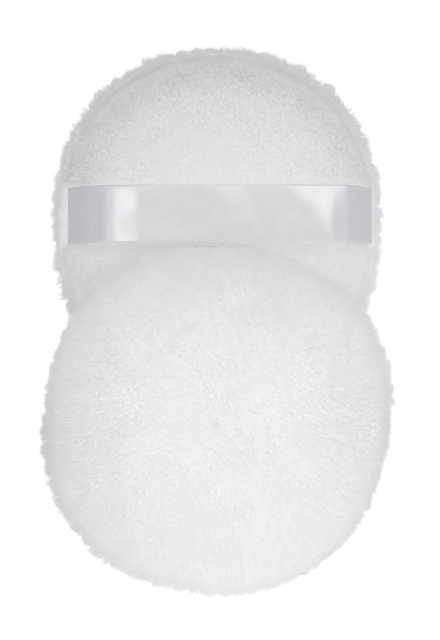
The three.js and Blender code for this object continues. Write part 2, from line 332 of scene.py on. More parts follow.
def plush_underpile(tree, colours):
    """Dense lower part of the plush, seen between the ends of its fibres: matt and woolly, with tufts about 1.5 mm
    apart and the fine speckle of fibre ends. Each layer lets part of the light through, so that the shadow of a thin
    rim of pile is faint and that of the padded middle is full."""
    place = put(tree, "TexCoord").outputs["Object"]
    tufts = put(tree, "TexVoronoi", {"Vector": place, "Scale": 1 / TUFT_SPACING}, feature="SMOOTH_F1")
    fibres = put(tree, "TexNoise", {"Vector": place, "Scale": 1900.0, "Detail": 3.0}).outputs["Fac"]
    height = put(tree, "Math", {0: fibres, 1: tufts.outputs["Distance"]}, operation="SUBTRACT")
    shade = mixed(tree, fibres, linear("E4E5E8"), tuple(colours.underpile))
    bump = put(tree, "Bump", {"Height": height, "Strength": 0.35, "Distance": 0.0004})
    gloss = {"Roughness": 0.9, "Specular IOR Level": 0.2, "Sheen Weight": 0.3}
    shader = put(tree, "BsdfPrincipled", {"Base Color": shade, "Normal": bump, **gloss})
    thin = put(tree, "MixShader", {0: LIGHT_THROUGH_PILE, 1: shader, 2: put(tree, "BsdfTransparent")})
    to_lamp = put(tree, "LightPath").outputs["Is Shadow Ray"]
    return put(tree, "MixShader", {0: to_lamp, 1: shader, 2: thin})


def polyester_satin_ribbon(tree, colours):
    """Polyester satin ribbon: smooth floats along the ribbon give a soft gloss, faint ribs cross it, and each edge has
    a closely woven selvedge. The real ribs are 0.1 mm apart and are drawn at 0.45 mm, so that they show. Its map's u
    runs along it, 1 to 100 mm, and v across it. From 22 to 34 mm along, its tint turns to the warmer one of its level
    part, so that its steep ends stay bluer: painted cool shade and reflection."""
    uv = put(tree, "UVMap", uv_map="Ribbon")
    split = put(tree, "SeparateXYZ", {0: uv}).outputs
    off_middle = put(tree, "Math", {0: split["Y"], 1: 0.5}, operation="SUBTRACT")
    from_middle = put(tree, "Math", {0: off_middle}, operation="ABSOLUTE")
    edge = put(tree, "MapRange", {"Value": from_middle, "From Min": 0.44, "From Max": 0.465})
    weave = {"Vector": uv, "Scale": 70.0, "Distortion": 1.2, "Detail": 2.0, "Detail Scale": 2.0}
    ribs = put(tree, "TexWave", weave, bands_direction="X").outputs["Fac"]
    place = put(tree, "TexCoord").outputs["Object"]
    cloud = put(tree, "TexNoise", {"Vector": place, "Scale": 260.0, "Detail": 4.0}).outputs["Fac"]
    floats = mixed(tree, cloud, linear("CFD1D5"), tuple(colours.satin))
    # painted shade: the steep ends keep the bluer satin, and from 22 to 34 mm along the level part is warmed
    level = put(tree, "MapRange", {"Value": split["X"], "From Min": 0.22, "From Max": 0.34})
    painted_shade_floats = mixed(tree, level, floats, LEVEL_WARMTH_PAINTED_LIGHT, "MULTIPLY")
    woven = mixed(tree, edge, painted_shade_floats, tuple(colours.selvedge))
    rough = put(tree, "MapRange", {"Value": ribs, "To Min": 0.27, "To Max": 0.31})
    bump = put(tree, "Bump", {"Height": ribs, "Strength": 0.05, "Distance": 0.0001})
    gloss = {"Roughness": rough, "IOR": 1.6, "Specular IOR Level": 1.0, "Anisotropic": 0.4}
    shader = put(tree, "BsdfPrincipled", {"Base Color": woven, "Normal": bump, **gloss})
    through = put(tree, "BsdfTranslucent", {"Color": woven, "Normal": bump})
    return put(tree, "MixShader", {0: 0.12, 1: shader, 2: through})


def polyester_wadding(tree, colours):
    """Loose polyester wadding: matt, slightly creamy, with crimped fibres that show as a fine cloudy web."""
    place = put(tree, "TexCoord").outputs["Object"]
    web = put(tree, "TexNoise", {"Vector": place, "Scale": 420.0, "Detail": 6.0, "Distortion": 1.8}).outputs["Fac"]
    shade = mixed(tree, web, linear("D8D5CB"), tuple(colours.wadding))
    bump = put(tree, "Bump", {"Height": web, "Strength": 0.8, "Distance": 0.0006})
    return put(tree, "BsdfPrincipled", {"Base Color": shade, "Roughness": 0.95, "Sheen Weight": 0.3, "Normal": bump})


def spun_polyester_thread(tree, colours):
    """Spun polyester sewing thread: matt, with plies that turn round it. Its map's u runs along the thread and v
    round it, one turn of the plies to 0.8 mm."""
    twist = {"Vector": put(tree, "UVMap", uv_map="Thread"), "Scale": 2 * math.pi / 10}
    plies = put(tree, "TexWave", twist, bands_direction="DIAGONAL").outputs["Fac"]
    shade = mixed(tree, plies, linear("CFCFD2"), tuple(colours.thread))
    bump = put(tree, "Bump", {"Height": plies, "Strength": 0.5, "Distance": 0.0001})
    return put(tree, "BsdfPrincipled", {"Base Color": shade, "Roughness": 0.75, "Normal": bump})


def looked_at(tree):
    """1 on what the camera sees straight, in a gloss or through something clear, and 0 on what only lights."""
    path = put(tree, "LightPath").outputs
    either = put(tree, "Math", {0: path["Is Camera Ray"], 1: path["Is Glossy Ray"]}, operation="MAXIMUM")
    return put(tree, "Math", {0: either, 1: path["Is Transmission Ray"]}, operation="MAXIMUM")


def matt_white_table(tree, stage):
    """Matt white table: it takes light and shadow as a pale diffuse surface, and what looks straight at it also sees
    an even glow, so that it shows white where nothing shades it."""
    lit = put(tree, "BsdfDiffuse", {"Color": tuple(stage.table)})
    faint = put(tree, "BsdfDiffuse", {"Color": (0.28, 0.28, 0.28, 1)})
    glow = put(tree, "Emission", {"Color": (1, 1, 1, 1), "Strength": 0.82})
    shown = put(tree, "AddShader", {0: faint, 1: glow})
    return put(tree, "MixShader", {0: looked_at(tree), 1: lit, 2: shown})


def linked(name, data):
    """An object that holds a mesh, a camera or a lamp, linked to the scene."""
    made = bpy.data.objects.new(name, data)
    bpy.context.scene.collection.objects.link(made)
    return made


def new_piece(name, points, faces, material, sharp_degrees=180):
    """A mesh object at the origin from world points and faces. Edges are sharp from an angle on, and the faces of a
    closed form are turned outwards where it was built inside out."""
    mesh = bpy.data.meshes.new(name)
    mesh.from_pydata(points.reshape(-1, 3).tolist(), [], faces)
    mesh.polygons.foreach_set("use_smooth", np.full(len(faces), True))
    if sharp_degrees < 180:
        mesh.set_sharp_from_angle(angle=math.radians(sharp_degrees))
    mesh.materials.append(material)
    mesh.update()
    mesh.calc_loop_triangles()
    spread = read(mesh.vertices, "co")
    corners = read(mesh.loop_triangles, "vertices", kind=np.int32)
    a, b, c = (spread - spread.mean(0))[corners].transpose(1, 0, 2)
    if (a * np.cross(b, c)).sum() < 0:
        mesh.flip_normals()
    return linked(name, mesh)


def read(items, key, width=3, kind=float):
    """One attribute of all of a mesh's items, as an array with a row for each."""
    values = np.zeros(len(items) * width, kind)
    items.foreach_get(key, values)
    return values.reshape(-1, width)


def closed_rings(rings):
    """Points and faces of a closed form: rings is (rings, around, 3), its first and last ring drawn to a pole."""
    count, around, _ = rings.shape
    points = np.vstack([rings[0].mean(0), rings[1:-1].reshape(-1, 3), rings[-1].mean(0)])
    j = np.arange(around)
    k = (j + 1) % around
    last = len(points) - 1
    first_fan = np.stack([np.zeros_like(j), 1 + j, 1 + k], -1)
    rows = 1 + np.arange(count - 3)[:, None] * around
    quads = np.stack([rows + j, rows + around + j, rows + around + k, rows + k], -1).reshape(-1, 4)
    tail = 1 + (count - 3) * around
    last_fan = np.stack([tail + j, np.full_like(j, last), tail + k], -1)
    return points, first_fan.tolist() + quads.tolist() + last_fan.tolist()


def poles_to_rings(points):
    """The (rings, around, 3) grid of the points of a closed form, each pole as a ring of equal points."""
    first, last = (np.broadcast_to(pole, (1, AROUND, 3)) for pole in (points[0], points[-1]))
    return np.concatenate([first, points[1:-1].reshape(-1, AROUND, 3), last])


def tube_quads(rows, around, closed=False):
    """The faces of a tube of rows of around points each. A closed tube joins its last row to its first."""
    i, j = np.meshgrid(np.arange(rows if closed else rows - 1), np.arange(around), indexing="ij")
    i2, j2 = (i + 1) % rows, (j + 1) % around
    return np.stack([i * around + j, i * around + j2, i2 * around + j2, i2 * around + j], -1).reshape(-1, 4).tolist()


def meridian(reach, height, round_share, phi):
    """Distance and height of a superellipse quarter: reach * sin(phi)^share and height * cos(phi)^share."""
    return reach * np.sin(phi) ** round_share, height * np.cos(phi) ** round_share


def ring_angles(count=AROUND):
    """Evenly spaced angles round a puff."""
    return np.arange(count) * 2 * math.pi / count


def polar(distance, height, angle):
    """Points at a distance from the axis, a height and an angle."""
    return np.stack([distance * np.cos(angle), distance * np.sin(angle), height + 0 * angle], -1)


def cloth_grid(puff, side, sizes):
    """The ground cloth of one side in world metres, (rings, around, 3), from its middle to the seam: a superellipse
    dome over the wadding, before it swells."""
    phi = np.linspace(0, math.pi / 2, RINGS)[:, None]
    pad = (sizes.wadding_rise if side > 0 else sizes.wadding_drop) / MM + CLOTH_THICKNESS
    distance, height = meridian(sizes.seam_reach / MM, side * pad, ROUND_SHARE, phi)
    return puff.to_world(polar(distance, height, ring_angles()[None, :]))


def pile_grid(puff, side, sizes):
    """The outer form of one side's pile in world metres, (rings, around, 3): a superellipse dome over its lip line,
    then the lip, an ellipse quarter that turns in from its widest line to the seam."""
    reach, cloth = sizes.seam_reach / MM, CLOTH_THICKNESS
    if side > 0:
        spread, lip, share = BACK_LIP_SPREAD, BACK_LIP_RISE, ROUND_SHARE
        top = (sizes.wadding_rise + sizes.back_pile) / MM + cloth
    else:
        pile = (sizes.leaning_face_pile if puff.face_up else sizes.lying_face_pile) / MM
        spread, lip, share = pile - FACE_LIP_INSET, FACE_LIP_DROP, FACE_ROUND_SHARE
        top = sizes.wadding_drop / MM + cloth + pile
    distance, height = meridian(reach + spread, top - lip, share, np.linspace(0, math.pi / 2, RINGS))
    turn = np.linspace(0, math.pi / 2, LIP_RINGS + 1)[1:]
    in_reach = reach + LIP_TURN
    distance = np.concatenate([distance, in_reach + (spread - LIP_TURN) * np.cos(turn)])
    height = np.concatenate([height + lip, SEAM_PARTING / 2 + (lip - SEAM_PARTING / 2) * (1 - np.sin(turn))])
    return puff.to_world(polar(distance[:, None], side * height[:, None], ring_angles()[None, :]))


def inflated(points, faces):
    """The points of a closed cover after a cloth simulation has blown it up with its seam pinned."""
    mesh = bpy.data.meshes.new("cover_trial")
    mesh.from_pydata(points.tolist(), [], faces)
    cover = linked("cover_trial", mesh)
    seam = 1 + (RINGS - 2) * AROUND
    cover.vertex_groups.new(name="seam").add(list(range(seam, seam + AROUND)), 1.0, "REPLACE")
    cloth = cover.modifiers.new("cloth", "CLOTH")
    for key, value in COVER_CLOTH.items():
        setattr(cloth.settings, key, value)
    cloth.settings.effector_weights.gravity = 0
    cloth.point_cache.frame_start, cloth.point_cache.frame_end = 1, COVER_FRAMES
    for step in range(1, COVER_FRAMES + 1):
        bpy.context.scene.frame_set(step)
    after = read(cover.evaluated_get(bpy.context.evaluated_depsgraph_get()).data.vertices, "co")
    bpy.data.objects.remove(cover)
    bpy.context.scene.frame_set(1)
    return after


def swelled(back, face, cap):
    """The two cloth grids after the cover has been blown up over the wadding, with no point moved by more than cap."""
    rings = np.concatenate([back, face[-2::-1]])
    moved = poles_to_rings(inflated(*closed_rings(rings)))
    step = moved - rings
    far = np.linalg.norm(step, axis=-1, keepdims=True)
    moved = rings + step * np.minimum(1, cap / np.maximum(far, 1e-9))
    return moved[:RINGS], moved[: RINGS - 2 : -1]


def grid_normals(grid):
    """Unit normals of a (rings, around, 3) grid, pointing to its right-hand side."""
    out = np.gradient(grid, axis=0)
    round_about = np.roll(grid, -1, 1) - np.roll(grid, 1, 1)
    round_about[0] = round_about[1]
    out[0] = out[1]
    return unit(np.cross(out, round_about))


def strap_path(puff, side):
    """One half of the strap's middle line, as points (x, z) of the puff's frame from its tucked end to its middle, and
    its length. It is cut from a broken line, whose corners are rounded three times. It comes out of the seam at
    STRAP_TUCK, turns up round it by STRAP_BEND (outwards, height), arches up to its crease by STRAP_ARCHES (shares of
    the way inwards and up), rises a little more by STRAP_SHOULDERS (inwards from the crease, over the level part) and
    runs level to the middle, with a slight bow, by STRAP_LEVEL (shares of the crease and of the bow). side is -1 on
    the left and +1 on the right."""
    half, height, bow = int(side > 0), puff.strap_height, puff.strap_bow
    out, crease = STRAP_TURNS[half], STRAP_CREASES[half]
    climb = np.array([crease - out, height - STRAP_FOOT])
    corners = np.array(
        [
            [STRAP_TUCK, 0.4],
            [STRAP_TUCK + 1.2, 0.4],
            *([out + outwards, up] for outwards, up in STRAP_BEND),
            *([out + along * climb[0], STRAP_FOOT + up * climb[1]] for along, up in STRAP_ARCHES[half]),
            *([crease - inwards, height + rise] for inwards, rise in STRAP_SHOULDERS[half]),
            *([crease * share, height + rise * bow] for share, rise in STRAP_LEVEL),
        ]
    )
    for _ in range(3):
        a, b = corners[:-1], corners[1:]
        cut = np.stack([0.75 * a + 0.25 * b, 0.25 * a + 0.75 * b], 1).reshape(-1, 2)
        corners = np.vstack([corners[:1], cut, corners[-1:]])
    run = np.concatenate([[0], np.cumsum(np.linalg.norm(np.diff(corners, axis=0), axis=1))])
    share = np.linspace(0, run[-1], STRAP_ROWS)
    line = np.stack([np.interp(share, run, corners[:, i]) for i in range(2)], -1)
    return np.stack([side * line[:, 0], line[:, 1]], -1), run[-1]


def strap_wave(x, y):
    """How the level part of the ribbon stands off its plane, in mm: a long slow wave, a shallow ridge that crosses
    its right half slantwise, and edges that drop a little."""
    slant = (x - 28.5) * 0.8 + y * 0.6
    wave = 0.12 * np.sin(x / 5.2 + 0.9) + 0.1 * np.sin(y / 4.1 + x / 17)
    ridge = 0.95 * np.exp(-((slant / 7) ** 2)) - 0.35 * np.exp(-(((slant + 11) / 6) ** 2))
    return wave + ridge - 0.08 * (y / 9) ** 4


def make_strap_half(context, puff, side):
    """One half of a ribbon strap, and its length in mm: a thin section with thickened selvedges, carried along its half
    of the path. Its level part stands off by its wave, and its edges droop by up to 0.21 mm past its crease."""
    sizes, colours, _ = settings(context)
    half, thick = sizes.strap_width / MM / 2, sizes.strap_thickness / MM / 2
    crease = STRAP_CREASES[int(side > 0)]
    line, length = strap_path(puff, side)
    v = np.sin(np.linspace(-math.pi / 2, math.pi / 2, 33))
    bead = thick * np.sqrt(np.clip(1 - np.abs(v) ** 40, 0, 1))
    loop_y = np.concatenate([v, v[-2:0:-1]]) * half
    loop_z = np.concatenate([bead, -bead[-2:0:-1]])
    tangent = unit(np.gradient(line, axis=0))
    x = line[:, :1] - tangent[:, 1:] * loop_z
    z = line[:, 1:] + tangent[:, :1] * loop_z
    y = np.broadcast_to(loop_y, x.shape)
    reach = np.abs(line[:, :1])
    z = z + puff.strap_wave * smoothstep((crease + 1.5 - reach) / 6) * strap_wave(x, y)
    z = z - 0.21 * smoothstep((reach - crease) / 6) * (y / half) ** 2
    world = puff.to_world(np.stack([x, y, z], -1), on_strap=True)
    count = loop_y.size
    ends = [list(range(count))[::-1], list(range((STRAP_ROWS - 1) * count, STRAP_ROWS * count))]
    name = f"{puff.name}_strap_{'right' if side > 0 else 'left'}"
    satin = material_of(polyester_satin_ribbon, colours)
    piece = new_piece(name, world, tube_quads(STRAP_ROWS, count) + ends, satin, sharp_degrees=50)
    piece.visible_shadow = False  # light passes through the thin ribbon
    along = np.repeat(np.linspace(0, length / 100, STRAP_ROWS), count)
    add_map(piece, "Ribbon", np.stack([along, np.tile(loop_y / half / 2 + 0.5, STRAP_ROWS)], -1))
    return piece, length


def add_map(piece, name, values):
    """Writes a UV map from one (u, v) for each vertex."""
    mesh = piece.data
    corner = read(mesh.loops, "vertex_index", 1, np.int32)[:, 0]
    mesh.uv_layers.new(name=name).uv.foreach_set("vector", values[corner].astype(np.float32).ravel())


def strand_mesh(name, root, middle, tip, outward, own_side, width, tint, rng, material):
    """All strands of one piece of pile as one mesh. A strand is a closed three-sided spike from root to tip, straight
    with 4 faces, or with one bend at middle and 7 faces. Its map's u holds its tint and v runs from root to tip. Its
    normals lie between the way the pile points and its own sides, as light spreads through a thick pile."""
    count = len(root)
    axis = unit((tip if middle is None else middle) - root)
    a = unit(np.cross(axis, outward + 0.35 * rng.normal(size=(count, 3))))
    b = np.cross(a, axis)
    section = np.array([[0.5, -0.08], [-0.5, -0.08], [0.0, 0.16]])
    ring = (section[:, :1] * a[:, None] + section[:, 1:] * b[:, None]) * width[:, None, None]
    if middle is None:
        rows, heights = [root[:, None] + ring], [0.02]
        sides = [[0, 2, 1], [0, 1, 3], [1, 2, 3], [2, 0, 3]]
    else:
        rows, heights = [root[:, None] + ring, middle[:, None] + ring * 0.75], [0.02, 0.5]
        sides = [[0, 2, 1], [0, 1, 4, 3], [1, 2, 5, 4], [2, 0, 3, 5], [3, 4, 6], [4, 5, 6], [5, 3, 6]]
    points = np.concatenate(rows + [tip[:, None]], 1)
    per = points.shape[1]
    loops = (np.arange(count)[:, None] * per + np.concatenate(sides)).ravel()
    starts = np.concatenate([[0], np.cumsum(np.tile([len(s) for s in sides], count))[:-1]])
    mesh = bpy.data.meshes.new(name)
    mesh.vertices.add(count * per)
    mesh.vertices.foreach_set("co", points.astype(np.float32).ravel())
    mesh.loops.add(len(loops))
    mesh.loops.foreach_set("vertex_index", loops.astype(np.int32))
    mesh.polygons.add(len(starts))
    mesh.polygons.foreach_set("loop_start", starts.astype(np.int32))
    mesh.polygons.foreach_set("use_smooth", np.ones(len(starts), bool))
    mesh.update(calc_edges=True)
    mesh.materials.append(material)
    soft = unit(outward[:, None] + own_side * unit(ring))
    normals = np.concatenate([soft] * len(rows) + [unit(outward)[:, None]], 1).reshape(-1, 3)
    mesh.normals_split_custom_set_from_vertices(normals)
    v = np.array([h for h in heights for _ in range(3)] + [0.98])
    du = np.array([-0.012, 0.0, 0.012] * len(heights) + [0.0])
    u = np.clip(0.02 + 0.96 * tint[:, None] + du, 0.004, 0.996)
    piece = linked(name, mesh)
    add_map(piece, "OFBake", np.stack([u, np.broadcast_to(v, (count, per))], -1).reshape(-1, 2))
    piece.visible_shadow = False  # real fibres are so fine that light passes between them
    return piece


def sown(rng, count, start, end, grid, rim_share):
    """Random rows and angles of count roots between two angles, even by area over a grid but rim_share times denser
    towards the seam."""
    along = np.linalg.norm(np.diff(grid, axis=0), axis=-1)
    around = np.linalg.norm(np.roll(grid, -1, 1) - grid, axis=-1)
    strip = (along * (around[:-1] + around[1:])).mean(1)
    strip *= 1 + (rim_share - 1) * rimness(np.arange(len(strip)) + 0.5)
    share = np.concatenate([[0], np.cumsum(strip) / strip.sum()])
    return np.interp(rng.random(count), share, np.arange(len(share))), rng.uniform(start, end, count)


def fuller(puff, angle):
    """How much further, in mm, the locks reach at each angle of a puff's rim. The leaning puff's pile is combed
    towards the near left, so that it reaches further there and less far at the near right and the far left."""
    if not puff.face_up:
        return np.zeros_like(angle)
    degrees, reach = zip(*LEANING_RIM_REACH)
    return np.interp(-np.degrees(angle), degrees, reach, period=360)


def rimness(row):
    """How far a row of the panel's grid counts as its rim: 0 on the dome, 1 from its widest line to the seam."""
    return smoothstep((row / (RINGS - 1) - 0.76) / 0.18)


def lifted(puff, side, points, normals):
    """Normals as the light sees the pile. The short pile lies outwards towards the rim, and its normals lean with it.
    Light from above spreads sideways through the deep pile and the lips, and their normals lean upwards. More so
    on the far side of the leaning puff, which the pale back under it lights through."""
    if side < 0:
        up = FACE_SCATTER + FAR_SCATTER * np.clip(normals[:, 1:2], 0, 1) if puff.face_up else RIM_SCATTER
        return unit(normals + up * np.array([0, 0, 1.0]))
    radial = (points - [0, puff.middle_y * MM, 0]) * [1, 1, 0] / MM
    far = np.linalg.norm(radial, axis=1, keepdims=True)
    high = np.abs(points[:, 2] / MM - puff.seam_height(radial[:, 1]))[:, None]
    lip = smoothstep((far - 44) / 3) * (1 - smoothstep((high - 1.5) / 3))
    outward = BACK_SPLAY * (1 - lip) * smoothstep((far - 36) / 9) * radial / np.maximum(far, 1e-6)
    return unit(normals + outward + lip * np.array([0, 0, BACK_LIP_SCATTER]))


def on_grid(grid, row, angle):
    """Points of a (rings, around, 3) grid at rows and angles, by straight interpolation in both."""
    r = np.clip(row, 0, len(grid) - 1.0001)
    t = (angle % (2 * math.pi)) / (2 * math.pi) * grid.shape[1]
    i, j = r.astype(int), t.astype(int) % grid.shape[1]
    fr, ft = (r - i)[:, None], (t - np.floor(t))[:, None]
    k = (j + 1) % grid.shape[1]
    near = grid[i, j] * (1 - ft) + grid[i, k] * ft
    far = grid[i + 1, j] * (1 - ft) + grid[i + 1, k] * ft
    return near * (1 - fr) + far * fr


def nearest(points, centres):
    """The index of the nearest centre to each point of the plane."""
    found = np.empty(len(points), int)
    for i in range(0, len(points), 4000):
        part = points[i : i + 4000]
        found[i : i + 4000] = ((part[:, None] - centres[None]) ** 2).sum(-1).argmin(1)
    return found


def drift(points, rng, waves=7, shortest=14, longest=46):
    """A smooth random field over the plane, about -1 to 1, as a sum of sine waves of random heading and length."""
    total = np.zeros(len(points))
    for _ in range(waves):
        heading, length = rng.uniform(0, 2 * math.pi), rng.uniform(shortest, longest)
        along = points @ np.array([math.cos(heading), math.sin(heading)])
        total += np.sin(along * 2 * math.pi / length + rng.uniform(0, 2 * math.pi))
    return total / math.sqrt(waves / 2) / 1.6


def make_locks(puff, side, look, grid, outer, field):
    """The locks of a panel's pile. They stand on a sunflower's spiral over the panel laid flat, each a little out of
    place. Each has its plan in mm, its root, the straight way from there to the outer form, and its own tilt, share of
    the length, further reach at the rim and splay there."""
    count = int(math.pi * PLAN_REACH**2 / look.clump**2)
    i = np.arange(count) + 0.5
    heading = np.stack([np.cos(i * GOLDEN_ANGLE), np.sin(i * GOLDEN_ANGLE)], -1)
    plan = PLAN_REACH * np.sqrt(i / count)[:, None] * heading + field.normal(0, 0.22 * look.clump, (count, 2))
    angle, row = np.arctan2(plan[:, 1], plan[:, 0]), np.hypot(*plan.T) / PLAN_REACH * (RINGS - 1)
    root = on_grid(grid, row, angle)
    own = np.random.default_rng(11 + side)
    return SimpleNamespace(
        plan=plan,
        root=root,
        straight=on_grid(outer, row, angle) - root,
        tilt=own.normal(0, look.lock_lean, (count, 3)),
        share=own.normal(1, 0.07, count),
        extra=(own.uniform(0.35, 1.65, count) * look.rim_extra + fuller(puff, angle)) * MM,
        splay=own.normal(0, look.rim_splay, (count, 3)),
    )


def strand_ends(rng, row, root, heading, length, flow, locks, lock, look):
    """The middles and tips of strands, from their roots, straight headings and lengths. Each strand is tilted by the
    flow, by its lock and by itself, and then drawn towards its lock's tip by its pull. A few stray: they tilt and
    reach further, and hardly join a lock. At the rim the strands stand straighter, and the locks splay and reach
    further. The middle lies about half way along, tilted less."""
    count, rim = len(row), rimness(row)
    stray = rng.random(count) < look.strays
    loose = np.where(stray, 3.2, 1.0)[:, None]
    upright = (1 - look.rim_upright * smoothstep((row / (RINGS - 1) - 0.7) / 0.3))[:, None]
    tilt = (look.lean * flow + locks.tilt[lock]) * upright + locks.splay[lock] * rim[:, None]
    tilt += rng.normal(0, look.stray, (count, 3)) * loose * (1 - 0.5 * rim[:, None])
    tilt -= (tilt * heading).sum(1, keepdims=True) * heading
    longer = 1 + (look.longer - 1) * upright[:, 0]
    extra = locks.extra[lock] * rim
    reach_out = (length * longer + extra) * (1 + rng.normal(0, 0.12, count)) * np.where(stray, 1.3, 1.0)
    own_tip = root + unit(heading + tilt) * reach_out[:, None]
    straight = locks.straight[lock]
    far = np.linalg.norm(straight, axis=1)
    lock_reach = far * longer * locks.share[lock] + extra
    lock_tip = locks.root[lock] + unit(straight / far[:, None] + tilt) * lock_reach[:, None]
    together = look.pull + (look.rim_pull - look.pull) * rim
    pull = np.where(stray, 0.15, together * rng.uniform(0.5, 1.0, count))[:, None]
    tip = own_tip + (lock_tip - own_tip) * pull
    middle = root + unit(heading + 0.3 * tilt) * (0.52 * reach_out)[:, None]
    middle = middle + 0.35 * pull * ((root + tip) / 2 - middle)
    middle += rng.normal(0, 0.035, (count, 3)) * length[:, None]
    tip[:, 2] -= look.droop * length * smoothstep(row / RINGS * 2 - 1)
    return middle, tip


def grow(context, puff, side, name, start, turn, count, look):
    """Grows one piece of pile on a panel from one angle over a turn. look holds clump (the spacing of locks in mm),
    pull (how far tips are drawn to their lock), lean, lock_lean and stray (tilts as shares of the length), strays (the
    share of stray strands), longer, droop, width, sheen, and bent strands or straight ones. What its rim has of its
    own is rim_share (how much denser), rim_extra (mm of reach), rim_pull, rim_splay and rim_upright."""
    sizes, colours, _ = settings(context)
    rng = np.random.default_rng(sizes.seed * 1000 + sum(map(ord, name)))
    field = np.random.default_rng(sizes.seed + (3 if puff.face_up else 5) + side)
    grid, outer = read_panel(puff, side), pile_grid(puff, side, sizes)
    row, angle = sown(rng, count, start, start + turn, grid, look.rim_share)
    root = on_grid(grid, row, angle)
    straight = on_grid(outer, row, angle) - root
    length = np.linalg.norm(straight, axis=1)
    heading = straight / length[:, None]
    root, length = root - heading * ROOT_DEPTH * MM, length + ROOT_DEPTH * MM
    arc = row / (RINGS - 1) * PLAN_REACH
    locks = make_locks(puff, side, look, grid, outer, field)
    lock = nearest(np.stack([arc * np.cos(angle), arc * np.sin(angle)], -1), locks.plan)
    plan = (root[:, :2] - [0, puff.middle_y * MM]) / MM
    flow = np.stack([drift(plan, field), drift(plan, field), 0 * row], -1)
    middle, tip = strand_ends(rng, row, root, heading, length, flow, locks, lock, look)
    floor = FLOOR_GAP * MM
    keep = root[:, 2] > floor
    if side > 0:
        keep &= ~under_strap_end(puff, root, sizes)
        tip, middle = pressed(puff, tip, sizes, 0.5), pressed(puff, middle, sizes, 0.6)
    elif puff.face_up:
        tip, middle = clear_of_strap(tip, sizes), clear_of_strap(middle, sizes)
    tip[:, 2] = np.maximum(tip[:, 2], floor + 0.0002 * rng.random(count))
    middle[:, 2] = np.maximum(middle[:, 2], floor + 0.0003 * rng.random(count))
    tint = np.clip(rng.beta(3, 2, count), 0, 1)
    width = sizes.strand_width * look.width * rng.uniform(0.75, 1.25, count)
    kind = "short" if side > 0 else "long"
    looks = getattr(colours, f"{kind}_root"), getattr(colours, f"{kind}_tip"), look.sheen
    piece = strand_mesh(
        name,
        root[keep],
        middle[keep] if look.bent else None,
        tip[keep],
        lifted(puff, side, root, heading)[keep],
        OWN_SIDE_SHARE[int(side < 0)],
        width[keep],
        tint[keep],
        rng,
        material_of(plush_fibre, *looks, name=f"{kind}_plush_fibre"),
    )
    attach(piece, f"{puff.name}_puff")


def over_strap(puff, points, sizes):
    """Points as x, y of the strap's own frame, in mm, and how far each y is under the ribbon: 1 there, and 0 from
    1.2 mm beside it on."""
    x, y = points[..., 0] / MM / puff.outline_share(0.0), points[..., 1] / MM - puff.middle_y
    return x, y, 1 - smoothstep((np.abs(y) - sizes.strap_width / MM / 2) / 1.2)


def pressed(puff, points, sizes, gap):
    """The back's points, held under the ribbon where it crosses them, by a gap in mm that fades out beside it. Outside
    its creases the ribbon is taken to come down evenly to its turn."""
    x, y, under = over_strap(puff, points, sizes)
    crease, out = np.where(x < 0, *STRAP_CREASES), np.where(x < 0, *STRAP_TURNS)
    share = np.clip((np.abs(x) - crease) / (out + 0.3 - crease), 0, 1)
    ribbon = puff.strap_height + share * (0.9 - puff.strap_height) - gap
    seam, up = puff.seam_height(y), puff.side_up(1)
    high = up * (points[..., 2] / MM - seam)
    lowered = high + under * (np.minimum(high, ribbon) - high)
    return np.concatenate([points[..., :2], ((seam + up * lowered) * MM)[..., None]], -1)


def behind_strap_ends(puff, points, sizes):
    """The outer points of the back's cloth beside the seam, drawn in behind the ribbon's two ends, so that no bare
    cloth shows past them. |x| there is at most that of the ribbon's turn less 0.4 mm."""
    x, _, under = over_strap(puff, points, sizes)
    most = np.where(x < 0, *STRAP_TURNS) - 0.4
    share = 1 + under * (np.minimum(most / np.maximum(np.abs(x), 1e-6), 1) - 1)
    return points * np.stack([share, np.ones_like(share), np.ones_like(share)], -1)


def clear_of_strap(points, sizes):
    """Points of the leaning puff's fluff, folded back short of the lying puff's ribbon, so that the ribbon is lifted
    past them: y is less by FOLD_SHARE times what it is past a line FLUFF_TO_STRAP in front of the ribbon."""
    line = (LYING.middle_y - FLUFF_TO_STRAP) * MM - sizes.strap_width / 2
    past = np.maximum(points[:, 1] - line, 0)
    return points - np.outer(FOLD_SHARE * past, [0, 1, 0])


def under_strap_end(puff, points, sizes):
    """Which points lie under the last 3 mm of the strap's ends, where nothing grows."""
    x, y, _ = over_strap(puff, points, sizes)
    return (np.abs(x) > np.where(x < 0, *STRAP_TURNS) - 3) & (np.abs(y) < sizes.strap_width / MM / 2 + 0.3)


def read_panel(puff, side):
    """The outer cloth grid that a panel's mesh keeps in its first points."""
    mesh = bpy.data.objects[f"{puff.name}_{side_word(side)}_panel"].data
    return poles_to_rings(read(mesh.vertices, "co"))[: RINGS + LIP_RINGS]


def panel_rings(puff, side, grid, sizes):
    """A panel's outer rings, from its middle to the seam, and its inner ones. The inner ones are the cloth's own, and
    the outer ones stand up to the underpile's share of the pile, with shallow lumps."""
    up = puff.side_up(side)
    cloth = grid + np.array([0, 0, up * SEAM_PARTING / 2 * MM])
    normal = grid_normals(cloth)
    normal *= np.sign(normal[:3, :, 2].mean()) * up
    inner = cloth - normal * CLOTH_THICKNESS * MM
    foot = np.concatenate([cloth, np.repeat(cloth[-1:], LIP_RINGS, 0)])
    share, lump = (BACK_UNDERPILE, 0.1) if side > 0 else (FACE_UNDERPILE, 0.25)
    outer = foot + share * (pile_grid(puff, side, sizes) - foot)
    plan = outer[..., :2].reshape(-1, 2) / MM
    lumps = drift(plan, np.random.default_rng(sizes.seed + side), 12, 6, 18).reshape(outer.shape[:2] + (1,))
    outer = outer + unit(outer - foot) * lumps * lump * MM
    outer[..., 2] = np.maximum(outer[..., 2], FLOOR_GAP * MM)
    if side > 0:
        outer = behind_strap_ends(puff, pressed(puff, outer, sizes, 0.9), sizes)
    return outer, inner


